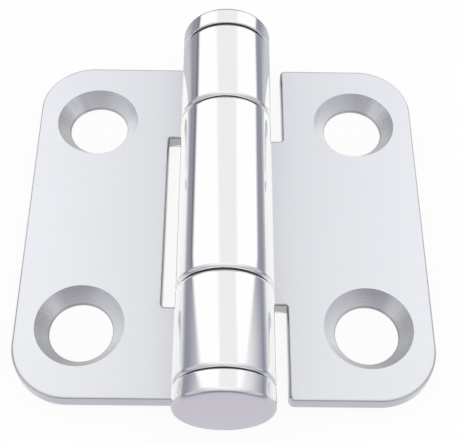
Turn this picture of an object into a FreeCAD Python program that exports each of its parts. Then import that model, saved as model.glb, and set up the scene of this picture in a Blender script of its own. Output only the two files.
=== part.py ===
import FreeCAD, Part
import os

import Sketcher
from FreeCAD import Placement, Rotation, Vector

# Torque hinge, opened flat. X runs across the leaves, Y along the pin, Z up from the mounting face.
# The origin lies on the mounting face, under the pin axis, at the middle of the hinge.

# Driving sizes, in millimetres and degrees: name, value, what it measures.
SIZES = (
    ("open_width", 60.0, "over both leaves, opened flat"),
    ("leaf_length", 59.0, "leaf, along the pin"),
    ("sheet_thick", 2.8, "sheet of both leaves"),
    ("barrel_dia", 14.0, "outside of the curled knuckles and of the caps"),
    ("leaf_corner", 8.3, "radius of the leaves' outer corners"),
    ("notch_reach", 9.0, "from the pin axis to the notch wall"),
    ("notch_corner", 0.4, "radius of the notches' inner corners"),
    ("heel_corner", 0.8, "radius where a notch runs out at the leaf's end"),
    ("middle_span", 29.7, "length of the middle knuckle"),
    ("joint_gap", 0.3, "between neighbouring knuckles"),
    ("curl_end", 33.0, "below the pin's level, where the curl stops on the leaf's own side"),
    ("knuckle_round", 0.6, "radius of the knuckles' end edges"),
    ("edge_round", 0.5, "radius of the leaves' top edges"),
    ("screw_inset", 9.35, "from the leaf's outer edge to the screw line"),
    ("screw_pitch", 36.6, "between the two screws of a leaf"),
    ("screw_hole", 9.2, "screw hole, at its land"),
    ("hole_land", 0.3, "height of the straight land under the countersink"),
    ("sink_angle", 72.0, "full angle of the countersink"),
    ("cap_head", 3.2, "length of the cap's head"),
    ("washer_thick", 0.3, "washer between cap and knuckle"),
    ("rim_drop", 0.5, "how far the washers and the bush flanges lie below the barrel's surface"),
    ("cap_round", 0.7, "radius of the cap's outer edge"),
    ("cap_edge", 0.2, "radius of the cap's inner edge"),
    ("spigot_len", 3.5, "how far the cap reaches into the bore"),
    ("shaft_dia", 4.0, "shaft, over its round sides"),
    ("shaft_flats", 3.2, "shaft, across its two flats"),
    ("end_bevel", 0.3, "chamfer of the shaft's and the spigots' ends"),
    ("collar_len", 2.0, "collar that the disc stack bears on"),
    ("disc_thick", 1.0, "friction disc"),
    ("tab_width", 1.2, "tab of a stator disc or key bush"),
    ("tab_reach", 1.1, "how far a tab stands into the knuckle's seam"),
    ("tab_drop", 10.0, "from the curl's end to the tab, round the pin"),
    ("plate_thick", 1.2, "pressure plate"),
    ("spring_sheet", 0.5, "thickness of a disc spring"),
    ("spring_rise", 0.35, "height of its cone"),
    ("nut_len", 3.0, "adjusting nut"),
    ("slot_width", 1.4, "spanner slot of the nut"),
    ("slot_depth", 1.2, "depth of that slot"),
    ("seat_gap", 0.02, "radial, where a piece is fitted fast"),
    ("run_gap", 0.05, "radial, where the shaft turns in a bush"),
    ("free_gap", 0.2, "radial, round pieces that turn clear of the bore"),
    ("loose_gap", 0.1, "radial, round the shaft in stators, springs and washers"),
    ("flange_play", 0.05, "between a bush flange and the outer knuckle"),
    ("stack_play", 0.3, "between the disc stack and each bush"),
    ("key_inset", 0.3, "from the outer knuckle's inner end to its key bush"),
    ("end_play", 0.2, "from the shaft's ends to the caps"),
)

ROTORS = 6
SPRINGS = 4

BARREL_R = "(Sizes.barrel_dia / 2)"
BORE_R = "(Sizes.barrel_dia / 2 - Sizes.sheet_thick)"
SEATED_R = f"({BORE_R} - Sizes.seat_gap)"
FREE_R = f"({BORE_R} - Sizes.free_gap)"
RIM_R = f"({BARREL_R} - Sizes.rim_drop)"
SHAFT_R = "(Sizes.shaft_dia / 2)"
LOOSE_R = f"({SHAFT_R} + Sizes.loose_gap)"
SINK_DIA = "(Sizes.screw_hole + 2 * (Sizes.sheet_thick - Sizes.hole_land) * tan(Sizes.sink_angle / 2))"
LEAF_END = "(Sizes.leaf_length / 2)"
MIDDLE_END = "(Sizes.middle_span / 2)"
NOTCH_END = f"({MIDDLE_END} + Sizes.joint_gap)"
SHAFT_END = f"({LEAF_END} - Sizes.spigot_len - Sizes.end_play)"
SPRING_TALL = "(Sizes.spring_sheet + Sizes.spring_rise)"
DISC_PACK = f"({2 * ROTORS + 1} * Sizes.disc_thick)"
SPRING_PACK = f"({SPRINGS} * {SPRING_TALL})"
STACK = f"(Sizes.collar_len + {DISC_PACK} + Sizes.plate_thick + {SPRING_PACK} + Sizes.nut_len)"
COLLAR_START = f"(-{STACK} / 2)"
DISC_START = f"({COLLAR_START} + Sizes.collar_len)"
PLATE_START = f"({DISC_START} + {DISC_PACK})"
SPRING_START = f"({PLATE_START} + Sizes.plate_thick)"
NUT_START = f"({SPRING_START} + {SPRING_PACK})"
SLEEVE_LEN = f"({MIDDLE_END} - {STACK} / 2 - Sizes.stack_play)"

NEAR = 0.001

doc = FreeCAD.newDocument("TorqueHinge")
sheet = doc.addObject("Spreadsheet::Sheet", "Sizes")
for row, (alias, size, meaning) in enumerate(SIZES, 1):
    sheet.set(f"A{row}", meaning)
    sheet.set(f"B{row}", str(size))
    sheet.setAlias(f"B{row}", alias)
doc.recompute()

pieces = []


def value(expression):
    """Number that an expression of the sheet gives now."""
    return float(sheet.evalExpression(expression))


def new_body(label, along=None, turned=False):
    """Body of one piece: on the pin axis at a place along it, or in the hinge's own frame."""
    body = doc.addObject("PartDesign::Body", label)
    body.Label = label
    if turned:
        body.Placement = Placement(Vector(), Rotation(Vector(0, 0, 1), 180))
    if along is not None:
        body.setExpression("Placement.Base.y", along)
        body.setExpression("Placement.Base.z", BARREL_R)
    pieces.append(body)
    return body


def new_sketch(body, name, role, lift=None, turn=None):
    """Sketch on an origin plane of the body, lifted along its normal or turned about it."""
    sketch = body.newObject("Sketcher::SketchObject", name)
    plane = next(item for item in body.Origin.OriginFeatures if item.Role == role)
    sketch.AttachmentSupport = (plane, [""])
    sketch.MapMode = "FlatFace"
    if lift is not None:
        sketch.setExpression("AttachmentOffset.Base.z", lift)
    if turn is not None:
        sketch.AttachmentOffset = Placement(Vector(), Rotation(Vector(0, 0, 1), value(turn)))
        sketch.setExpression("AttachmentOffset.Rotation.Angle", turn)
    return sketch


def bind(sketch, constraint, expression):
    """Add a dimension whose size is an expression of the sheet."""
    index = sketch.addConstraint(Sketcher.Constraint(*constraint, value(expression)))
    sketch.setExpression(f"Constraints[{index}]", expression)


def hold(sketch, edge, point, across, up):
    """Hold a point of the sketch at two distances from its origin."""
    bind(sketch, ("DistanceX", -1, 1, edge, point), across)
    bind(sketch, ("DistanceY", -1, 1, edge, point), up)


def draw_outline(sketch, corners):
    """Closed outline of straight edges, with every corner held."""
    spots = [Vector(value(across), value(up), 0) for across, up in corners]
    for start, end in zip(spots, spots[1:] + spots[:1]):
        sketch.addGeometry(Part.LineSegment(start, end))
    for edge, (across, up) in enumerate(corners):
        sketch.addConstraint(Sketcher.Constraint("Coincident", (edge - 1) % len(corners), 2, edge, 1))
        hold(sketch, edge, 1, across, up)


def draw_circle(sketch, radius, across="0", up="0"):
    """Circle with its centre held."""
    centre = Vector(value(across), value(up), 0)
    edge = sketch.addGeometry(Part.Circle(centre, Vector(0, 0, 1), value(radius)))
    bind(sketch, ("Radius", edge), radius)
    hold(sketch, edge, 3, across, up)


def draw_double_d(sketch, radius, half_flats):
    """Round section with a flat above and a flat below."""
    reach = value(f"sqrt({radius} ^ 2 - ({half_flats}) ^ 2)")
    rise = value(half_flats)
    turn = value(f"asin(({half_flats}) / {radius}) / 1deg") * 3.141592653589793 / 180
    full = Part.Circle(Vector(), Vector(0, 0, 1), value(radius))
    top = sketch.addGeometry(Part.LineSegment(Vector(reach, rise, 0), Vector(-reach, rise, 0)))
    left = sketch.addGeometry(Part.ArcOfCircle(full, 3.141592653589793 - turn, 3.141592653589793 + turn))
    bottom = sketch.addGeometry(Part.LineSegment(Vector(-reach, -rise, 0), Vector(reach, -rise, 0)))
    right = sketch.addGeometry(Part.ArcOfCircle(full, -turn, turn))
    chain = (top, left, bottom, right)
    for one, other in zip(chain, chain[1:] + chain[:1]):
        sketch.addConstraint(Sketcher.Constraint("Coincident", one, 2, other, 1))
    for arc in (left, right):
        sketch.addConstraint(Sketcher.Constraint("Coincident", -1, 1, arc, 3))
        bind(sketch, ("Radius", arc), radius)
    for flat, side in ((top, half_flats), (bottom, f"-({half_flats})")):
        sketch.addConstraint(Sketcher.Constraint("Horizontal", flat))
        bind(sketch, ("DistanceY", -1, 1, flat, 1), side)


def pad(body, sketch, length, both_ways=False):
    """Extrude a cross-section towards the rear, or to both sides of its plane."""
    feature = body.newObject("PartDesign::Pad", sketch.Name + "Pad")
    feature.Profile = sketch
    feature.setExpression("Length", length)
    if both_ways:
        feature.SideType = "Symmetric"
    else:
        feature.Reversed = True
    sketch.Visibility = False
    return feature


def turn_profile(body, corners):
    """Turn a half-section of (along, radius) corners about the pin axis."""
    sketch = new_sketch(body, body.Name + "Profile", "YZ_Plane")
    draw_outline(sketch, corners)
    feature = body.newObject("PartDesign::Revolution", body.Name + "Turned")
    feature.Profile = sketch
    feature.ReferenceAxis = (sketch, ["H_Axis"])
    feature.Angle = 360
    return feature


def edges_of(feature, test):
    """Names of the edges of a feature that pass a test."""
    doc.recompute()
    names = [f"Edge{index}" for index, edge in enumerate(feature.Shape.Edges, 1) if test(edge)]
    if not names:
        raise RuntimeError(f"{feature.Name}: no edge found")
    return names


def dress(body, kind, feature, test, size):
    """Round or bevel the edges of a feature that pass a test."""
    names = edges_of(feature, test)
    dressed = body.newObject("PartDesign::" + kind, f"{body.Name}{kind}")
    dressed.Base = (feature, names)
    dressed.setExpression("Radius" if kind == "Fillet" else "Size", size)
    doc.recompute()
    return dressed


def upright_at(across, along=None):
    """Test for an upright straight edge across the hinge, at a distance from its middle along the pin."""
    def test(edge):
        upright = isinstance(edge.Curve, Part.Line) and abs(edge.Curve.Direction.z) > 1 - NEAR
        centre = edge.CenterOfMass
        placed = along is None or abs(abs(centre.y) - value(along)) < NEAR
        return upright and placed and abs(centre.x - value(across)) < NEAR
    return test


def ring_at(radius, along=None):
    """Test for a circular edge about the pin axis, at a place along it."""
    def test(edge):
        curve = edge.Curve
        if not isinstance(curve, Part.Circle) or abs(curve.Axis.y) < 1 - NEAR:
            return False
        placed = along is None or abs(curve.Center.y - value(along)) < NEAR
        return placed and abs(curve.Radius - value(radius)) < NEAR
    return test


def curl_section(body):
    """Sheet that lies on the mounting face, then curls up, over the pin and back to its own side."""
    sketch = new_sketch(body, body.Name + "Section", "XZ_Plane")
    radius = value(BARREL_R)
    bore = value(BORE_R)
    thick = value("Sizes.sheet_thick")
    outer_x = -value("Sizes.open_width") / 2
    end_turn = 3.141592653589793 * (1 + value("Sizes.curl_end") / 180)
    axis = Vector(0, radius, 0)
    outward = Vector(value("cos(180 + Sizes.curl_end)"), value("sin(180 + Sizes.curl_end)"), 0)
    below = -3.141592653589793 / 2
    outside = Part.Circle(axis, Vector(0, 0, 1), radius)
    inside = Part.Circle(axis, Vector(0, 0, 1), bore)
    shapes = (
        Part.LineSegment(Vector(outer_x, 0, 0), Vector(0, 0, 0)),
        Part.ArcOfCircle(outside, below, end_turn),
        Part.LineSegment(axis + outward * bore, axis + outward * radius),
        Part.ArcOfCircle(inside, below, end_turn),
        Part.LineSegment(Vector(0, thick, 0), Vector(outer_x, thick, 0)),
        Part.LineSegment(Vector(outer_x, thick, 0), Vector(outer_x, 0, 0)),
    )
    under, outer, stop, inner, top, edge = [sketch.addGeometry(shape) for shape in shapes]
    joins = (
        ("Tangent", under, 2, outer, 1),
        ("Coincident", outer, 2, stop, 2),
        ("Coincident", stop, 1, inner, 2),
        ("Tangent", inner, 1, top, 1),
        ("Coincident", top, 2, edge, 1),
        ("Coincident", edge, 2, under, 1),
        ("Coincident", outer, 3, inner, 3),
        ("PointOnObject", outer, 3, stop),
        ("Horizontal", under),
        ("Vertical", edge),
    )
    for join in joins:
        sketch.addConstraint(Sketcher.Constraint(*join))
    hold(sketch, under, 2, "0", "0")
    bind(sketch, ("DistanceX", -1, 1, under, 1), "-Sizes.open_width / 2")
    bind(sketch, ("Radius", outer), BARREL_R)
    bind(sketch, ("Radius", inner), BORE_R)
    bind(sketch, ("Angle", stop), "180 + Sizes.curl_end")
    return sketch


def cut_notch(body, start, end):
    """Cut the knuckle away between two places along the pin, back to the notch wall."""
    sketch = new_sketch(body, f"{body.Name}Notch", "XY_Plane")
    wall = "-Sizes.notch_reach"
    past = "Sizes.barrel_dia"
    draw_outline(sketch, ((wall, start), (past, start), (past, end), (wall, end)))
    notch = body.newObject("PartDesign::Pocket", sketch.Name + "Cut")
    notch.Profile = sketch
    notch.Type = "ThroughAll"
    notch.Reversed = True
    return notch


def cut_screw_holes(body):
    """Two countersunk holes, sunk from the top face."""
    sketch = new_sketch(body, body.Name + "Screws", "XY_Plane", lift="Sizes.sheet_thick")
    across = "-(Sizes.open_width / 2 - Sizes.screw_inset)"
    for up in ("-Sizes.screw_pitch / 2", "Sizes.screw_pitch / 2"):
        draw_circle(sketch, "Sizes.screw_hole / 2", across, up)
    doc.recompute()
    hole = body.newObject("PartDesign::Hole", body.Name + "ScrewHoles")
    hole.Profile = sketch
    hole.DepthType = "ThroughAll"
    hole.HoleCutType = "Countersink"
    hole.HoleCutCustomValues = True
    hole.setExpression("Diameter", "Sizes.screw_hole")
    hole.setExpression("HoleCutDiameter", SINK_DIA)
    hole.setExpression("HoleCutCountersinkAngle", "Sizes.sink_angle")
    doc.recompute()
    return hole


def build_leaf(label, notches, inner_end, turned):
    """Leaf with its curled knuckles, modelled towards -X and turned round for the other side."""
    body = new_body(label, turned=turned)
    pad(body, curl_section(body), "Sizes.leaf_length", both_ways=True)
    for start, end in notches:
        last = cut_notch(body, start, end)
    wall = "-Sizes.notch_reach"
    last = dress(body, "Fillet", last, upright_at("-Sizes.open_width / 2"), "Sizes.leaf_corner")
    last = dress(body, "Fillet", last, upright_at(wall, inner_end), "Sizes.notch_corner")
    if len(notches) > 1:
        last = dress(body, "Fillet", last, upright_at(wall, LEAF_END), "Sizes.heel_corner")
    last = dress(body, "Fillet", last, ring_at(BARREL_R), "Sizes.knuckle_round")
    last = dress(body, "Fillet", last, ring_at(BORE_R), "Sizes.edge_round")
    cut_screw_holes(body)


def build_cap(label, side):
    """Cap with a spigot in the bore and a head as wide as the barrel."""
    body = new_body(label, f"{side} * {LEAF_END}", turned=side < 0)
    head = "(Sizes.washer_thick + Sizes.cap_head)"
    turned = turn_profile(body, (
        ("-Sizes.spigot_len", "0"),
        (head, "0"),
        (head, BARREL_R),
        ("Sizes.washer_thick", BARREL_R),
        ("Sizes.washer_thick", SEATED_R),
        ("-Sizes.spigot_len", SEATED_R),
    ))
    last = dress(body, "Fillet", turned, ring_at(BARREL_R, head), "Sizes.cap_round")
    last = dress(body, "Fillet", last, ring_at(BARREL_R, "Sizes.washer_thick"), "Sizes.cap_edge")
    dress(body, "Chamfer", last, ring_at(SEATED_R, "-Sizes.spigot_len"), "Sizes.end_bevel")


def build_cap_washer(label, side):
    """Thin washer on the cap's spigot, set back from the barrel's surface."""
    body = new_body(label, f"{side} * {LEAF_END}", turned=side < 0)
    eye = f"({SEATED_R} + Sizes.loose_gap)"
    thick = "Sizes.washer_thick"
    turn_profile(body, (("0", eye), (thick, eye), (thick, RIM_R), ("0", RIM_R)))


def build_flanged_bush(label, side):
    """Bush in the middle knuckle, whose flange keeps it off the outer knuckle."""
    body = new_body(label, f"{side} * {MIDDLE_END}", turned=side < 0)
    flange = "(Sizes.joint_gap - Sizes.flange_play)"
    bore = f"({SHAFT_R} + Sizes.run_gap)"
    turn_profile(body, (
        (f"-{SLEEVE_LEN}", bore),
        (flange, bore),
        (flange, RIM_R),
        ("0", RIM_R),
        ("0", SEATED_R),
        (f"-{SLEEVE_LEN}", SEATED_R),
    ))


def build_shaft():
    """Shaft with two flats along its length and a round collar that the disc stack bears on."""
    body = new_body("hinge_shaft", f"-{SHAFT_END}")
    sketch = new_sketch(body, "ShaftSection", "XZ_Plane")
    draw_double_d(sketch, SHAFT_R, "Sizes.shaft_flats / 2")
    bar = pad(body, sketch, f"2 * {SHAFT_END}")
    bar = dress(body, "Chamfer", bar, ring_at(SHAFT_R), "Sizes.end_bevel")
    ring = new_sketch(body, "CollarSection", "XZ_Plane", lift=f"-({SHAFT_END} + {COLLAR_START})")
    draw_circle(ring, FREE_R)
    pad(body, ring, "Sizes.collar_len")


def add_tab(body, length, side):
    """Tab that stands into the knuckle's seam, on the side of the leaf it belongs to."""
    turn = "180 + Sizes.curl_end + Sizes.tab_drop"
    if side > 0:
        turn = "-Sizes.curl_end - Sizes.tab_drop"
    sketch = new_sketch(body, body.Name + "Tab", "XZ_Plane", turn=turn)
    root = f"({SHAFT_R} + {BORE_R}) / 2"
    tip = f"{BORE_R} + Sizes.tab_reach"
    half = "Sizes.tab_width / 2"
    draw_outline(sketch, ((root, "-" + half), (tip, "-" + half), (tip, half), (root, half)))
    pad(body, sketch, length)


def build_key_bush(label, start):
    """Bush that holds the shaft's flats still in an outer knuckle."""
    body = new_body(label, start)
    length = f"({SHAFT_END} - {NOTCH_END} - Sizes.key_inset)"
    sketch = new_sketch(body, body.Name + "Section", "XZ_Plane")
    draw_double_d(sketch, f"({SHAFT_R} + Sizes.seat_gap)", "Sizes.shaft_flats / 2 + Sizes.seat_gap")
    draw_circle(sketch, SEATED_R)
    pad(body, sketch, length)
    add_tab(body, length, side=-1)


def build_stator(number):
    """Friction disc that turns with the middle knuckle."""
    start = f"{DISC_START} + {2 * number - 2} * Sizes.disc_thick"
    body = new_body(f"stator_disc_{number}", start)
    sketch = new_sketch(body, body.Name + "Section", "XZ_Plane")
    draw_circle(sketch, SEATED_R)
    draw_circle(sketch, LOOSE_R)
    pad(body, sketch, "Sizes.disc_thick")
    add_tab(body, "Sizes.disc_thick", side=1)


def build_keyed_disc(label, start, thick):
    """Disc that the shaft's flats hold still."""
    body = new_body(label, start)
    sketch = new_sketch(body, body.Name + "Section", "XZ_Plane")
    draw_double_d(sketch, f"({SHAFT_R} + Sizes.seat_gap)", "Sizes.shaft_flats / 2 + Sizes.seat_gap")
    draw_circle(sketch, FREE_R)
    pad(body, sketch, thick)


def build_spring(number):
    """Conical spring washer; every second one faces the other way."""
    body = new_body(f"disc_spring_{number}", f"{SPRING_START} + {number - 1} * {SPRING_TALL}")
    rim, eye = "0", "Sizes.spring_rise"
    if number % 2 == 0:
        rim, eye = eye, rim
    turn_profile(body, (
        (rim, FREE_R),
        (f"{rim} + Sizes.spring_sheet", FREE_R),
        (f"{eye} + Sizes.spring_sheet", LOOSE_R),
        (eye, LOOSE_R),
    ))


def build_nut():
    """Round nut with a spanner slot across its rear face."""
    body = new_body("adjusting_nut", NUT_START)
    sketch = new_sketch(body, "NutSection", "XZ_Plane")
    draw_circle(sketch, FREE_R)
    draw_circle(sketch, f"({SHAFT_R} + Sizes.seat_gap)")
    pad(body, sketch, "Sizes.nut_len")
    slot = new_sketch(body, "NutSlot", "XZ_Plane", lift="-Sizes.nut_len")
    half = "Sizes.slot_width / 2"
    draw_outline(slot, ((f"-{BORE_R}", "-" + half), (BORE_R, "-" + half), (BORE_R, half), (f"-{BORE_R}", half)))
    cut = body.newObject("PartDesign::Pocket", "NutSlotCut")
    cut.Profile = slot
    cut.Reversed = False
    cut.setExpression("Length", "Sizes.slot_depth")


def build_hinge():
    """All pieces of the hinge."""
    past_end = "Sizes.leaf_length"
    middle = ((f"-{NOTCH_END}", NOTCH_END),)
    ends = ((f"-{past_end}", f"-{MIDDLE_END}"), (MIDDLE_END, past_end))
    build_leaf("left_leaf", middle, NOTCH_END, turned=False)
    build_leaf("right_leaf", ends, MIDDLE_END, turned=True)
    build_shaft()
    for name, side in (("front", -1), ("rear", 1)):
        build_cap(f"{name}_end_cap", side)
        build_cap_washer(f"{name}_cap_washer", side)
        build_flanged_bush(f"{name}_flanged_bush", side)
    build_key_bush("front_key_bush", f"-{SHAFT_END}")
    build_key_bush("rear_key_bush", f"{NOTCH_END} + Sizes.key_inset")
    for number in range(1, ROTORS + 2):
        build_stator(number)
    for number in range(1, ROTORS + 1):
        start = f"{DISC_START} + {2 * number - 1} * Sizes.disc_thick"
        build_keyed_disc(f"rotor_disc_{number}", start, "Sizes.disc_thick")
    build_keyed_disc("pressure_plate", PLATE_START, "Sizes.plate_thick")
    for number in range(1, SPRINGS + 1):
        build_spring(number)
    build_nut()


def write_pieces():
    """Check every object of the document, then write each piece."""
    doc.recompute()
    for item in doc.Objects:
        if "Invalid" in item.State or "Error" in item.State:
            raise RuntimeError(f"{item.Label}: {item.State}")
    for body in pieces:
        if body.Shape.isNull() or not body.Shape.isValid():
            raise RuntimeError(f"{body.Label}: bad shape")
        if len(body.Shape.Solids) != 1:
            raise RuntimeError(f"{body.Label}: {len(body.Shape.Solids)} solids")
    os.makedirs("parts", exist_ok=True)
    for body in pieces:
        body.Shape.exportStep(f"parts/{body.Label}.step")


build_hinge()
write_pieces()
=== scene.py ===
"""Looks of a torque hinge: satin stainless leaves, polished knuckles and caps, and the disc stack inside."""

import math

import bmesh
import bpy
import numpy as np
from bpy.props import FloatProperty, FloatVectorProperty, PointerProperty
from mathutils import Matrix, Vector


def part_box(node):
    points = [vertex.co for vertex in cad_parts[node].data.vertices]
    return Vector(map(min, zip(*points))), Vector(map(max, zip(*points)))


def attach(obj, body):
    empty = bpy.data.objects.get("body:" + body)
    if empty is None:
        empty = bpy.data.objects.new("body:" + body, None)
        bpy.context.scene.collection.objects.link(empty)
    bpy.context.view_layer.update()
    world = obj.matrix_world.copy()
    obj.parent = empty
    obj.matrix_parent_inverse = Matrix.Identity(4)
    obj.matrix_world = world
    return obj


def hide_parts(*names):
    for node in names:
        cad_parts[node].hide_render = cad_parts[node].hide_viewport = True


bl_info = {
    "name": "Torque Hinge",
    "version": (1, 0, 0),
    "blender": (4, 5, 0),
    "location": "View3D > Sidebar > Hinge",
    "description": "Dresses the pieces of a torque hinge in their metals and sets up a plain studio",
    "category": "Object",
}

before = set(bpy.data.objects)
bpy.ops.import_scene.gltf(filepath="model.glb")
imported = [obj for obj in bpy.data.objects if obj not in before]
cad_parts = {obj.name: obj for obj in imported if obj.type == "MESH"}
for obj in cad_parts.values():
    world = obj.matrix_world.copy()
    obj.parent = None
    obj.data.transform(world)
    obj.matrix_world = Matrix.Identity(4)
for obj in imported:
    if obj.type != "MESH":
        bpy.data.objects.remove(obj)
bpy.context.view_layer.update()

# Sizes of the hinge, in metres. X runs across the pin, Y along it and Z up from the mounting face.
CAP_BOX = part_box("front_end_cap")
PIN_HEIGHT = float(CAP_BOX[1][2]) / 2
BARREL_RADIUS = PIN_HEIGHT
CAP_END = -float(CAP_BOX[0][1])
LEAF_TOP = 0.0028
LEAF_END = 0.0290
NOTCH_REACH = 0.0096
SCREW_X = 0.02065
SCREW_Y = 0.0183
SINK_RADIUS = 0.0066

# How far a point may lie from a surface and still count as on it, in metres.
ON_FLAT = 0.00001
ON_BARREL = 0.00005
OFF_SHEET_FACE = 0.00004
ON_CAP_FACE = 0.00006

# How the solids' triangles are merged, in metres, and smoothed.
MERGE_DISTANCE = 2e-6
CREASE = math.radians(28)
FACE_AREA_WEIGHT = 50

# Painted light and shade on the countersink walls, as shares of their tone: by the side of the hole, by the
# pair of holes, and in a painted highlight wedge at the back. A side of -1 is the wall next to the barrel
# and 1 the outer wall. SINK_RIM paints shade along both rims of the cone, over a range of distances from the
# screw axis in metres.
WALL_INNER = 1.26
WALL_OUTER = 0.82
WALL_FRONT = 0.66
FAR_PAIR = 1.13
WEDGE_SIDE = 0.74
WEDGE_LIGHT = 1.41
WEDGE_EDGES = (0.06, 0.26)
SINK_RANGE = (0.0044, 0.0068)
SINK_RIM = ((0.0, 0.62), (0.10, 0.62), (0.16, 1.0), (0.80, 1.0), (0.90, 0.62), (1.0, 0.62))

# Painted reflection: lighter tones that the leaves and their countersinks take only where the polished
# barrel mirrors them.
PAINTED_MIRROR_LEAF = (1, 1, 1)
PAINTED_MIRROR_SINK = (0.95, 0.95, 0.97)

# The floor's half size and, as metal sees it, the half sizes of its white middle and the distance over
# which it falls off beyond that, in metres, with the tones that it falls through: a painted pool of light.
# The camera sees a share of plain glow and the rest as matte.
FLOOR_HALF = 2.0
FLOOR_MIDDLE_X = 0.026
FLOOR_MIDDLE_Y = 0.024
FLOOR_FALL = 0.06
FLOOR_TONES = (
    (0.0, 0.97), (0.03, (0.90, 0.90, 0.91)), (0.10, (0.61, 0.615, 0.65)), (0.30, (0.59, 0.59, 0.63)),
    (0.55, (0.40, 0.41, 0.46)), (1.0, (0.30, 0.31, 0.37)))
FLOOR_GLOW = 0.90

# The air as metal sees it, from the horizon to straight up.
AIR_TONES = (
    (0.0, (0.30, 0.31, 0.365)), (0.10, (0.335, 0.34, 0.395)), (0.29, (0.46, 0.455, 0.51)),
    (0.45, (0.60, 0.59, 0.63)), (0.73, (0.79, 0.78, 0.80)), (0.88, (0.94, 0.935, 0.94)), (1.0, 1.0))

# Lights overhead. A direction's turn is its angle from straight up to the side, as a share of half a turn,
# and its Y says how far it points to the back. Between the two BACKWARD values of Y, lights shift sideways.
BACKWARD = (0.35, 0.75)
BOX_TONE = (1.07, 1.07, 1.07)
BOX_EDGE = 0.45
BOX_LEAN = 0.03
BOX_FRONT = 0.506
BOX_SLANT = 1.68
BOX_SOFT = 0.018
BOX_BLUR = 0.15
TAIL_LIGHT = 0.45
TAIL_START = 0.07
TAIL_LEFT = 0.2
HORIZON_TURN = 0.5
FRAME_TONE = (0.17, 0.18, 0.21)
FRAME_OFF_EDGE = 0.035
FRAME_HALF = 0.03
FRAME_FADE = 0.03
STRIP_TONE = (0.905, 0.91, 0.925)
STRIP_MIDDLE = (0.053, -0.005)
STRIP_HALF = 0.1075
STRIP_WIDENS_AT = 0.40
STRIP_WIDENING = 0.55
STRIP_SOFT = 0.026

# Grey panels at the front corners, and the dark low ends of the studio at the back and the front.
PANEL_TONE = (0.58, 0.58, 0.61)
PANEL_WAY = (0.88, -0.45, 0.15)
PANEL_EDGES = (0.80, 0.97)
END_TONE = (0.18, 0.18, 0.22)
BACK_END = (0.88, 0.96)
FRONT_END = (-0.95, -0.84)
FRONT_END_RISE = (0.14, 0.34)

# Picture width in pixels, film width in millimetres and the camera's nearest distance in metres.
IMAGE_WIDTH = 461
FILM_WIDTH = 36
CLIP_START = 0.001


def colour_setting(name, description, default):
    """Colour property."""
    return FloatVectorProperty(
        name=name, description=description, subtype="COLOR", size=3, min=0, max=1, default=default)


def rough_setting(name, description, default, low=0.05, high=1.0):
    """Roughness property."""
    return FloatProperty(name=name, description=description, min=low, max=high, default=default)


def angle_setting(name, description, default):
    """Angle property, in radians."""
    return FloatProperty(
        name=name, description=description, subtype="ANGLE", unit="ROTATION", default=default)


class HingeFinish(bpy.types.PropertyGroup):
    """Colours and roughness of the hinge's metals and plastic."""

    steel: colour_setting("Stainless", "Reflection colour of the stainless sheet", (0.84, 0.85, 0.88))
    bright: colour_setting(
        "Polished stainless", "Reflection colour of knuckles and cap rims", (0.93, 0.93, 0.935))
    face: colour_setting("Cap face", "Reflection colour of the caps' end faces", (0.98, 0.94, 1.0))
    satin: rough_setting("Satin roughness", "Roughness of the blasted leaves", 0.42)
    edge: rough_setting("Edge roughness", "Roughness of the leaves' cut edges", 0.16)
    turned: rough_setting("Turned roughness", "Roughness of the countersinks", 0.28)
    polish: rough_setting("Polish roughness", "Roughness of knuckles and caps", 0.04, low=0.01, high=0.5)
    plastic: colour_setting("Bush plastic", "Colour of the flanged bushes", (0.02, 0.02, 0.022))
    bronze: colour_setting("Disc bronze", "Colour of the stator discs", (0.62, 0.42, 0.22))


class HingeStudio(bpy.types.PropertyGroup):
    """Camera and floor of the studio."""

    eye: FloatVectorProperty(
        name="Camera place", description="Where the camera stands", subtype="TRANSLATION", unit="LENGTH",
        size=3, default=(-0.000777, -0.084033, 0.1341182))
    tilt: angle_setting("Camera tilt", "Angle below the horizon", 1.0042)
    heading: angle_setting("Camera heading", "Angle to the right of +Y", 0.0190)
    roll: angle_setting("Camera roll", "Turn about the line of sight", 0.0275)
    focal: FloatProperty(
        name="Focal length", description="In pixels of the picture", min=100, default=1024.76)
    floor: colour_setting("Floor", "Colour of the floor", (0.93, 0.93, 0.93))


def node(tree, kind, **settings):
    """Node of a kind, with attributes set by name and sockets by their label."""
    made = tree.nodes.new(kind)
    for key, setting in settings.items():
        if key in made.bl_rna.properties:
            setattr(made, key, setting)
        else:
            made.inputs[key.replace("_", " ")].default_value = setting
    return made


def plug(tree, source, socket):
    """Link a socket to an input, or set the input to a number or a colour."""
    if isinstance(source, bpy.types.NodeSocket):
        tree.links.new(source, socket)
    elif isinstance(source, tuple):
        socket.default_value = (*source, 1)
    else:
        socket.default_value = source


def math_node(tree, operation, *operands):
    """Result of a math node whose operands are numbers or sockets."""
    made = node(tree, "ShaderNodeMath", operation=operation)
    for slot, operand in enumerate(operands):
        plug(tree, operand, made.inputs[slot])
    return made.outputs[0]


def absolute(tree, number):
    """Number without its sign."""
    return math_node(tree, "ABSOLUTE", number)


def total(tree, one, other):
    """Sum of two numbers."""
    return math_node(tree, "ADD", one, other)


def difference(tree, one, other):
    """One number less another."""
    return math_node(tree, "SUBTRACT", one, other)


def product(tree, first, *others):
    """Product of two numbers or more."""
    for other in others:
        first = math_node(tree, "MULTIPLY", first, other)
    return first


def above_zero(tree, number):
    """Number, or zero if it is negative."""
    return math_node(tree, "MAXIMUM", number, 0.0)


def length_of(tree, one, other):
    """Length of the vector with two given parts."""
    return math_node(tree, "SQRT", total(tree, product(tree, one, one), product(tree, other, other)))


def vector(tree, *parts):
    """Vector from its parts."""
    made = node(tree, "ShaderNodeCombineXYZ")
    for slot, part in enumerate(parts):
        plug(tree, part, made.inputs[slot])
    return made.outputs[0]


def parts_of(tree, source):
    """The three parts of a vector."""
    split = node(tree, "ShaderNodeSeparateXYZ")
    tree.links.new(source, split.inputs[0])
    return split.outputs


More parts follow.
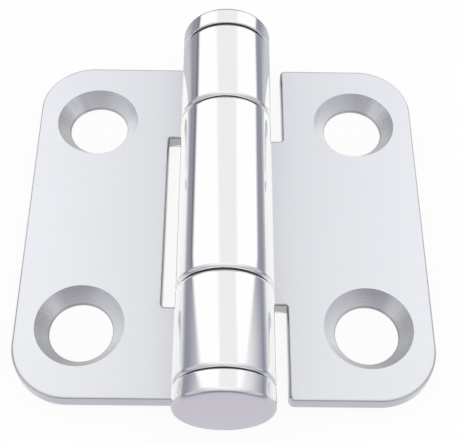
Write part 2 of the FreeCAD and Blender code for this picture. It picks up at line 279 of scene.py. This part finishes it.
def object_place(tree):
    """Object coordinates of the shaded point."""
    return node(tree, "ShaderNodeTexCoord").outputs["Object"]


def glossy_ray(tree):
    """1 where the surface is seen in another one, else 0."""
    return node(tree, "ShaderNodeLightPath").outputs["Is Glossy Ray"]


def noise(tree, place, scale, detail=2.0, stretch=(1, 1, 1)):
    """Noise in metres, stretched along the axes."""
    mapping = node(tree, "ShaderNodeMapping", Scale=stretch)
    tree.links.new(place, mapping.inputs[0])
    made = node(tree, "ShaderNodeTexNoise", Scale=scale, Detail=detail)
    tree.links.new(mapping.outputs[0], made.inputs["Vector"])
    return made.outputs[0]


def ring_noise(tree, reach, scale, detail):
    """Noise that changes only with the distance from an axis."""
    made = node(tree, "ShaderNodeTexNoise", Scale=scale, Detail=detail, noise_dimensions="1D")
    tree.links.new(reach, made.inputs["W"])
    return made.outputs[0]


def spread(tree, factor, low, high, start=0.0, stop=1.0, smooth=False):
    """Map a factor from start..stop to low..high; ends may be numbers or sockets."""
    made = node(tree, "ShaderNodeMapRange", interpolation_type="SMOOTHSTEP" if smooth else "LINEAR")
    for slot, operand in enumerate((factor, start, stop, low, high)):
        plug(tree, operand, made.inputs[slot])
    return made.outputs[0]


def mix(tree, factor, low, high):
    """Mix of two numbers or sockets."""
    made = node(tree, "ShaderNodeMix", data_type="FLOAT")
    for slot, operand in ((0, factor), (2, low), (3, high)):
        plug(tree, operand, made.inputs[slot])
    return made.outputs[0]


def tint(tree, factor, low, high, blend="MIX"):
    """Mix of two colours, each a triple or a socket."""
    made = node(tree, "ShaderNodeMix", data_type="RGBA", blend_type=blend)
    for slot, operand in ((0, factor), (6, low), (7, high)):
        plug(tree, operand, made.inputs[slot])
    return made.outputs[2]


def ramp(tree, factor, stops):
    """Greys or colours at places from 0 to 1."""
    made = node(tree, "ShaderNodeValToRGB")
    elements = made.color_ramp.elements
    while len(elements) > 1:
        elements.remove(elements[-1])
    for order, (place, level) in enumerate(stops):
        element = elements[0] if order == 0 else elements.new(place)
        element.position = place
        element.color = (*(level if isinstance(level, tuple) else (level,) * 3), 1)
    tree.links.new(factor, made.inputs[0])
    return made.outputs[0]


def shade(colour, factor):
    """Colour made darker or lighter."""
    return tuple(min(1.0, channel * factor) for channel in colour)


def shades(tree, factor, colour, dark, light):
    """Mix of two shades of a colour."""
    return tint(tree, factor, shade(colour, dark), shade(colour, light))


def empty_material(name):
    """Material whose node tree holds only its output."""
    material = bpy.data.materials.new(name)
    material.use_nodes = True
    tree = material.node_tree
    tree.nodes.clear()
    return material, tree, tree.nodes.new("ShaderNodeOutputMaterial")


def new_material(name, metallic=1.0):
    """Material with a Principled shader."""
    material, tree, output = empty_material(name)
    shader = node(tree, "ShaderNodeBsdfPrincipled", Metallic=metallic)
    tree.links.new(shader.outputs[0], output.inputs[0])
    return material, tree, shader


def cover(tree, shader, tone, rough, height, depth):
    """Give a shader its colour, roughness and bump, with the bump's depth in metres."""
    relief = node(tree, "ShaderNodeBump", Strength=1.0, Distance=depth)
    tree.links.new(height, relief.inputs["Height"])
    tree.links.new(tone, shader.inputs["Base Color"])
    tree.links.new(rough, shader.inputs["Roughness"])
    tree.links.new(relief.outputs[0], shader.inputs["Normal"])


def blasted_steel(finish):
    """Leaves: bead-blasted faces with soft clouds and a fine grain, and painted light that lightens them
    outward from the barrel;
    smoother cut edges, and notch walls darkened with painted shade. Other metal mirrors the faces white, a
    painted reflection."""
    material, tree, shader = new_material("blasted_steel")
    place = object_place(tree)
    across, along, up = parts_of(tree, place)
    aside = absolute(tree, across)
    cloud = noise(tree, place, 90.0, 3.0)
    grain = noise(tree, place, 7000.0)
    drawn = noise(tree, place, 1500.0, stretch=(0.05, 0.05, 1))
    off_middle = absolute(tree, difference(tree, up, LEAF_TOP / 2))
    edge = math_node(tree, "LESS_THAN", off_middle, LEAF_TOP / 2 - OFF_SHEET_FACE)
    # Painted light: the faces grow lighter outward from the barrel, mixed with the clouds' random tone.
    outward = spread(tree, aside, 0.0, 0.8, start=0.008, stop=0.028)
    light = math_node(tree, "MULTIPLY_ADD", cloud, 0.2, outward)
    # Painted reflection: where other metal mirrors the faces, they turn white.
    face_tone = tint(tree, glossy_ray(tree), shades(tree, light, finish.steel, 0.93, 1.055), PAINTED_MIRROR_LEAF)
    # Painted shade: the cut walls of the notch beside the barrel are darkened to about half the steel's
    # tone.
    in_reach = math_node(tree, "LESS_THAN", aside, NOTCH_REACH)
    in_length = math_node(tree, "LESS_THAN", absolute(tree, along), LEAF_END)
    cut = shades(tree, drawn, finish.steel, 0.90, 1.0)
    edge_tone = tint(tree, product(tree, in_reach, in_length), cut, shade(finish.steel, 0.48))
    face_rough = spread(tree, cloud, finish.satin - 0.03, finish.satin + 0.03)
    edge_rough = spread(tree, drawn, finish.edge - 0.03, finish.edge + 0.05)
    cover(
        tree, shader, tint(tree, edge, face_tone, edge_tone), mix(tree, edge, face_rough, edge_rough),
        mix(tree, edge, grain, drawn), depth=0.000004)
    return material


def polished_steel(finish):
    """Curled knuckles: mirror polish with faint wiping marks round the pin."""
    material, tree, shader = new_material("polished_steel")
    place = object_place(tree)
    wipe = noise(tree, place, 700.0, stretch=(0.06, 1, 0.06))
    cloud = noise(tree, place, 130.0)
    rough = spread(tree, wipe, finish.polish - 0.01, finish.polish + 0.02)
    cover(tree, shader, shades(tree, cloud, finish.bright, 0.99, 1.0), rough, wipe, depth=0.0000002)
    return material


def past_screws(tree, axis, centre):
    """How far a point lies past the nearer screw axis: away from the hinge's middle, and along the axis."""
    outward = difference(tree, absolute(tree, axis), centre)
    return outward, product(tree, outward, math_node(tree, "SIGN", axis))


def painted_wall_light(tree, side, depth, along):
    """Painted light and shade on a countersink's walls. Side and depth tell where round the hole a point
    lies: -1 to 1 from the barrel outward, and from the front to the back."""
    by_side = spread(tree, side, WALL_INNER, WALL_OUTER, start=-1.0, stop=1.0)
    by_pair = spread(tree, along, 1.0, FAR_PAIR, start=-0.005, stop=0.005)
    # Painted highlight: a light wedge on the back wall.
    off_wedge = absolute(tree, difference(tree, side, WEDGE_SIDE))
    painted_wedge = spread(tree, off_wedge, WEDGE_LIGHT, 1.0, *WEDGE_EDGES)
    front = spread(tree, depth, WALL_FRONT, 1.0, start=-0.9, stop=-0.3)
    back = math_node(tree, "GREATER_THAN", depth, 0.0)
    return product(tree, by_side, by_pair, mix(tree, back, front, painted_wedge))


def turned_steel(finish):
    """Countersinks: turning marks run round each hole, so the light spreads up and down the cone. The walls
    have a painted sheen at a glancing angle, painted light and shade round each hole and painted shade along
    both rims, and turn a lighter grey, a painted reflection, where other metal mirrors them."""
    material, tree, shader = new_material("turned_steel")
    shader.inputs["Anisotropic"].default_value = 0.85
    across, along, _ = parts_of(tree, object_place(tree))
    outward, off_x = past_screws(tree, across, SCREW_X)
    _, off_y = past_screws(tree, along, SCREW_Y)
    tree.links.new(vector(tree, off_x, off_y), shader.inputs["Tangent"])
    reach = length_of(tree, off_x, off_y)
    side = math_node(tree, "DIVIDE", outward, reach)
    depth = math_node(tree, "DIVIDE", off_y, reach)
    rim = ramp(tree, spread(tree, reach, 0.0, 1.0, *SINK_RANGE), SINK_RIM)
    rings = ring_noise(tree, reach, 5200.0, 2.0)
    slant = node(tree, "ShaderNodeLayerWeight", Blend=0.5).outputs["Facing"]
    # Painted sheen: the wall's colour lightens where it is seen at a glancing angle.
    painted_sheen = product(tree, math_node(tree, "POWER", slant, 6.0), 0.6)
    dull = shades(tree, rings, finish.steel, 0.645, 0.69)
    metal = tint(tree, painted_sheen, dull, shade(finish.steel, 1.12))
    # Painted light and shade round each hole, with painted shade along both rims.
    light = product(tree, painted_wall_light(tree, side, depth, along), rim)
    # Painted reflection: where other metal mirrors the walls, they turn a light grey.
    tone = tint(tree, glossy_ray(tree), tint(tree, 1.0, metal, light, "MULTIPLY"), PAINTED_MIRROR_SINK)
    rough = spread(tree, rings, finish.turned - 0.04, finish.turned + 0.04)
    cover(tree, shader, tone, rough, rings, depth=0.0000012)
    return material


def cap_steel(finish):
    """Polished rim and a finely turned satin end face."""
    material, tree, shader = new_material("cap_steel")
    place = object_place(tree)
    across, along, up = parts_of(tree, place)
    face = math_node(tree, "GREATER_THAN", absolute(tree, along), CAP_END - ON_CAP_FACE)
    cloud = noise(tree, place, 160.0, 3.0)
    rings = ring_noise(tree, length_of(tree, across, difference(tree, up, PIN_HEIGHT)), 4200.0, 3.0)
    rim_tone = shades(tree, cloud, finish.bright, 0.99, 1.0)
    face_tone = shades(tree, rings, finish.face, 0.97, 1.02)
    rim_rough = spread(tree, cloud, finish.polish - 0.01, finish.polish + 0.02)
    face_rough = spread(tree, rings, 0.36, 0.44)
    cover(
        tree, shader, tint(tree, face, rim_tone, face_tone), mix(tree, face, rim_rough, face_rough),
        product(tree, rings, face), depth=0.000002)
    return material


def plain_metal(name, colour, rough, grain_scale, swirl=1.0):
    """Machined metal: turning marks round the pin and a fine grain."""
    material, tree, shader = new_material(name)
    place = object_place(tree)
    cloud = noise(tree, place, 220.0, 3.0)
    marks = noise(tree, place, grain_scale, stretch=(1, swirl, 1))
    uneven = spread(tree, marks, rough - 0.06, rough + 0.08)
    cover(tree, shader, shades(tree, cloud, colour, 0.9, 1.08), uneven, marks, depth=0.000006)
    return material


def bush_plastic(finish):
    """Dark moulded bearing plastic."""
    material, tree, shader = new_material("bush_plastic", metallic=0.0)
    place = object_place(tree)
    cloud = noise(tree, place, 400.0, 3.0)
    cover(
        tree, shader, shades(tree, cloud, finish.plastic, 0.8, 1.3), spread(tree, cloud, 0.45, 0.6),
        noise(tree, place, 5000.0), depth=0.000005)
    return material


def dress(name, material):
    """Give a CAD node its material."""
    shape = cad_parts[name]
    shape.data.materials.clear()
    shape.data.materials.append(material)


def smooth_copy(name, body, metals, zone=None):
    """Copy of a CAD node with its triangles merged, edges under the crease angle smoothed and normals
    weighted by face area, so flat faces stay flat beside their rounded edges. The zone function gives
    each face's metal from the face centres."""
    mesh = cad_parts[name].data.copy()
    mesh.name = name + "_dressed"
    shell = bmesh.new()
    shell.from_mesh(mesh)
    bmesh.ops.remove_doubles(shell, verts=shell.verts, dist=MERGE_DISTANCE)
    for face in shell.faces:
        face.smooth = True
    for edge in shell.edges:
        edge.smooth = len(edge.link_faces) == 2 and edge.calc_face_angle(math.pi) < CREASE
    shell.to_mesh(mesh)
    shell.free()
    mesh.materials.clear()
    for metal in metals:
        mesh.materials.append(metal)
    if zone is not None:
        centres = np.empty(len(mesh.polygons) * 3)
        mesh.polygons.foreach_get("center", centres)
        mesh.polygons.foreach_set("material_index", zone(centres.reshape(-1, 3)).astype(np.int32))
    piece = bpy.data.objects.new(name + "_dressed", mesh)
    bpy.context.scene.collection.objects.link(piece)
    weigh = piece.modifiers.new("Weighted normals", "WEIGHTED_NORMAL")
    weigh.keep_sharp = True
    weigh.weight = FACE_AREA_WEIGHT
    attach(piece, body)
    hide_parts(name)


def leaf_zone(centres):
    """0 on the blasted sheet, 1 on the polished barrel, 2 in the countersinks: off the flat faces, the
    barrel lies within its radius of the pin axis, and a sink within its rim radius of a screw axis."""
    across, along, up = centres.T
    barrel = np.hypot(across, up - PIN_HEIGHT) < BARREL_RADIUS + ON_BARREL
    sink = np.hypot(np.abs(across) - SCREW_X, np.abs(along) - SCREW_Y) < SINK_RADIUS
    flat = (np.abs(up - LEAF_TOP) < ON_FLAT) | (up < ON_FLAT)
    return np.where(flat, 0, np.where(sink, 2, np.where(barrel, 1, 0)))


class HINGE_OT_leaves(bpy.types.Operator):
    """Dress both leaves with their curled knuckles"""

    bl_idname = "hinge.leaves"
    bl_label = "Leaves"

    def execute(self, context):
        finish = context.scene.hinge_finish
        metals = (blasted_steel(finish), polished_steel(finish), turned_steel(finish))
        smooth_copy("left_leaf", "fixed_leaf", metals, leaf_zone)
        smooth_copy("right_leaf", "moving_leaf", metals, leaf_zone)
        return {"FINISHED"}


class HINGE_OT_caps(bpy.types.Operator):
    """Dress the two end caps"""

    bl_idname = "hinge.caps"
    bl_label = "End caps"

    def execute(self, context):
        steel = cap_steel(context.scene.hinge_finish)
        for name in ("front_end_cap", "rear_end_cap"):
            smooth_copy(name, "fixed_leaf", (steel,))
        return {"FINISHED"}


class HINGE_OT_bushes(bpy.types.Operator):
    """Dress the bushes and washers that show as thin rings in the joints of the barrel"""

    bl_idname = "hinge.bushes"
    bl_label = "Flanged bushes"

    def execute(self, context):
        plastic = bush_plastic(context.scene.hinge_finish)
        for name in ("front_flanged_bush", "rear_flanged_bush", "front_cap_washer", "rear_cap_washer"):
            dress(name, plastic)
        return {"FINISHED"}


class HINGE_OT_shaft(bpy.types.Operator):
    """Dress the shaft, its key bushes, the pressure plate and the nut"""

    bl_idname = "hinge.shaft"
    bl_label = "Shaft and keys"

    def execute(self, context):
        steel = plain_metal("ground_steel", (0.52, 0.52, 0.54), 0.28, 2500.0, swirl=6.0)
        for name in ("hinge_shaft", "front_key_bush", "rear_key_bush", "pressure_plate", "adjusting_nut"):
            dress(name, steel)
        return {"FINISHED"}


class HINGE_OT_discs(bpy.types.Operator):
    """Dress the friction discs and the disc springs"""

    bl_idname = "hinge.discs"
    bl_label = "Disc stack"

    def execute(self, context):
        bronze = plain_metal("disc_bronze", tuple(context.scene.hinge_finish.bronze), 0.34, 3000.0)
        spring = plain_metal("spring_steel", (0.34, 0.35, 0.38), 0.3, 3000.0)
        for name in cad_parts:
            if name.startswith("stator_disc"):
                dress(name, bronze)
            elif name.startswith(("rotor_disc", "disc_spring")):
                dress(name, spring)
        return {"FINISHED"}


def floor_material(colour):
    """Pale floor. The camera sees it nearly white with a faint shadow. Metal sees it white close by and
    falling off to a bluish grey farther out, a painted pool of light under the light that stands over the
    hinge."""
    material, tree, output = empty_material("floor")
    across, along, _ = parts_of(tree, object_place(tree))
    past_x = above_zero(tree, difference(tree, absolute(tree, across), FLOOR_MIDDLE_X))
    past_y = above_zero(tree, difference(tree, absolute(tree, along), FLOOR_MIDDLE_Y))
    away = math_node(tree, "DIVIDE", length_of(tree, past_x, past_y), FLOOR_FALL)
    path = node(tree, "ShaderNodeLightPath")
    glossy = path.outputs["Is Glossy Ray"]
    glow = node(tree, "ShaderNodeEmission", Strength=1.0)
    # Painted pool of light: metal sees the floor white near the hinge and greyer farther away.
    tree.links.new(tint(tree, glossy, (1, 1, 1), ramp(tree, away, FLOOR_TONES)), glow.inputs["Color"])
    matte = node(tree, "ShaderNodeBsdfDiffuse", Color=(*colour, 1))
    seen = math_node(tree, "MAXIMUM", path.outputs["Is Camera Ray"], path.outputs["Is Transmission Ray"])
    share = math_node(tree, "MAXIMUM", product(tree, seen, FLOOR_GLOW), glossy)
    blend = node(tree, "ShaderNodeMixShader")
    tree.links.new(share, blend.inputs[0])
    tree.links.new(matte.outputs[0], blend.inputs[1])
    tree.links.new(glow.outputs[0], blend.inputs[2])
    tree.links.new(blend.outputs[0], output.inputs[0])
    return material


def build_floor(colour):
    """Large flat floor at the level of the mounting face."""
    size = FLOOR_HALF
    corners = [(-size, -size, 0), (size, -size, 0), (size, size, 0), (-size, size, 0)]
    mesh = bpy.data.meshes.new("floor")
    mesh.from_pydata(corners, [], [(0, 1, 2, 3)])
    mesh.materials.append(floor_material(colour))
    plane = bpy.data.objects.new("floor", mesh)
    bpy.context.scene.collection.objects.link(plane)


def softboxes(tree, x, y, turn):
    """Where a direction meets one of the two white softboxes, and how dark the frame beside the left one is.
    A box reaches down to a lower edge near the horizon. In front it ends in a slant, whose light tails off
    on the right."""
    aside = absolute(tree, turn)
    right = math_node(tree, "GREATER_THAN", x, 0.0)
    lean = spread(tree, y, -BOX_LEAN, BOX_LEAN, *BACKWARD)
    low = math_node(tree, "MULTIPLY_ADD", lean, math_node(tree, "SIGN", x), BOX_EDGE)
    in_front = above_zero(tree, difference(tree, BOX_FRONT, y))
    edge = difference(tree, low, product(tree, in_front, BOX_SLANT))
    soft = math_node(tree, "MULTIPLY_ADD", in_front, BOX_BLUR, BOX_SOFT)
    box = spread(tree, aside, 1.0, 0.0, start=difference(tree, edge, soft), stop=total(tree, edge, soft))
    glow = product(tree, spread(tree, in_front, 0.0, TAIL_LIGHT, start=0.0, stop=TAIL_START), right)
    tail = spread(tree, aside, glow, product(tree, glow, TAIL_LEFT), start=edge, stop=HORIZON_TURN)
    off_frame = absolute(tree, difference(tree, aside, total(tree, edge, FRAME_OFF_EDGE)))
    frame_line = spread(tree, off_frame, 1.0, 0.0, start=0.0, stop=FRAME_HALF)
    straight = spread(tree, in_front, 1.0, 0.0, start=0.0, stop=FRAME_FADE)
    left = difference(tree, 1.0, right)
    return math_node(tree, "MAXIMUM", box, tail), product(tree, frame_line, left, straight)


def sky(tree, x, y, z):
    """Colour that metal sees in a direction: grey air that darkens down to the horizon, a light grey strip
    overhead, a white softbox on each side towards the back, a grey panel at each front corner, and dark
    ends low at the back and the front."""
    turn = math_node(tree, "DIVIDE", math_node(tree, "ARCTAN2", x, z), math.pi)
    box, frame_dark = softboxes(tree, x, y, turn)
    off_strip = absolute(tree, difference(tree, turn, spread(tree, y, *STRIP_MIDDLE, *BACKWARD)))
    back_part = above_zero(tree, difference(tree, y, STRIP_WIDENS_AT))
    half = math_node(tree, "MULTIPLY_ADD", product(tree, back_part, back_part), STRIP_WIDENING, STRIP_HALF)
    inner, outer = difference(tree, half, STRIP_SOFT), total(tree, half, STRIP_SOFT)
    strip = spread(tree, off_strip, 1.0, 0.0, inner, outer, smooth=True)
    lamp = tint(tree, strip, BOX_TONE, STRIP_TONE)
    air = tint(tree, frame_dark, ramp(tree, z, AIR_TONES), FRAME_TONE)
    lit = tint(tree, box, air, lamp)
    nearness = node(tree, "ShaderNodeVectorMath", operation="DOT_PRODUCT")
    tree.links.new(vector(tree, absolute(tree, x), y, z), nearness.inputs[0])
    nearness.inputs[1].default_value = PANEL_WAY
    panel = spread(tree, nearness.outputs["Value"], 0.0, 1.0, *PANEL_EDGES, smooth=True)
    front = product(
        tree, spread(tree, y, 1.0, 0.0, *FRONT_END), spread(tree, z, 1.0, 0.0, *FRONT_END_RISE))
    ends = total(tree, spread(tree, y, 0.0, 1.0, *BACK_END, smooth=True), front)
    return tint(tree, ends, tint(tree, panel, lit, PANEL_TONE), END_TONE)


def build_world():
    """White surroundings, in which metal sees the lights and tones of the studio."""
    world = bpy.data.worlds.new("studio")
    bpy.context.scene.world = world
    world.use_nodes = True
    tree = world.node_tree
    tree.nodes.clear()
    output = tree.nodes.new("ShaderNodeOutputWorld")
    back = tree.nodes.new("ShaderNodeBackground")
    tree.links.new(back.outputs[0], output.inputs[0])
    way = parts_of(tree, node(tree, "ShaderNodeTexCoord").outputs["Generated"])
    tree.links.new(tint(tree, glossy_ray(tree), (1, 1, 1), sky(tree, *way)), back.inputs["Color"])


def build_camera(studio):
    """Camera that looks down along the pin from in front of the near end."""
    tilt, heading, roll = studio.tilt, studio.heading, studio.roll
    ahead = Vector((math.sin(heading) * math.cos(tilt), math.cos(heading) * math.cos(tilt), -math.sin(tilt)))
    right = Vector((math.cos(heading), -math.sin(heading), 0))
    above = right.cross(ahead)
    turned_right = right * math.cos(roll) + above * math.sin(roll)
    turned_above = above * math.cos(roll) - right * math.sin(roll)
    data = bpy.data.cameras.new("camera")
    data.sensor_fit = "HORIZONTAL"
    data.sensor_width = FILM_WIDTH
    data.lens = studio.focal * FILM_WIDTH / IMAGE_WIDTH
    data.clip_start = CLIP_START
    camera = bpy.data.objects.new("camera", data)
    bpy.context.scene.collection.objects.link(camera)
    axes = Matrix((turned_right, turned_above, -ahead)).transposed().to_4x4()
    camera.matrix_world = Matrix.Translation(studio.eye) @ axes
    bpy.context.scene.camera = camera


class HINGE_OT_studio(bpy.types.Operator):
    """Set up the floor, the light and the camera"""

    bl_idname = "hinge.studio"
    bl_label = "Studio"

    def execute(self, context):
        studio = context.scene.hinge_studio
        context.scene.view_settings.view_transform = "Standard"
        build_world()
        build_floor(studio.floor)
        build_camera(studio)
        return {"FINISHED"}


class HINGE_PT_panel(bpy.types.Panel):
    """Lists the steps that dress the hinge, and their settings"""

    bl_label = "Torque Hinge"
    bl_idname = "HINGE_PT_panel"
    bl_space_type = "VIEW_3D"
    bl_region_type = "UI"
    bl_category = "Hinge"

    def draw(self, context):
        for step in STEPS:
            self.layout.operator(step.bl_idname)
        for group in (context.scene.hinge_finish, context.scene.hinge_studio):
            for name in group.__annotations__:
                self.layout.prop(group, name)


STEPS = (HINGE_OT_leaves, HINGE_OT_caps, HINGE_OT_bushes, HINGE_OT_shaft, HINGE_OT_discs, HINGE_OT_studio)
CLASSES = (HingeFinish, HingeStudio, *STEPS, HINGE_PT_panel)


def register():
    """Register the classes and hang their settings on the scene."""
    for item in CLASSES:
        bpy.utils.register_class(item)
    bpy.types.Scene.hinge_finish = PointerProperty(type=HingeFinish)
    bpy.types.Scene.hinge_studio = PointerProperty(type=HingeStudio)


def unregister():
    """Take the settings and classes away again."""
    del bpy.types.Scene.hinge_studio
    del bpy.types.Scene.hinge_finish
    for item in reversed(CLASSES):
        bpy.utils.unregister_class(item)


def main():
    """Register the classes, dress the hinge and set up the studio."""
    register()
    bpy.ops.hinge.leaves()
    bpy.ops.hinge.caps()
    bpy.ops.hinge.bushes()
    bpy.ops.hinge.shaft()
    bpy.ops.hinge.discs()
    bpy.ops.hinge.studio()


if __name__ == "__main__":
    main()
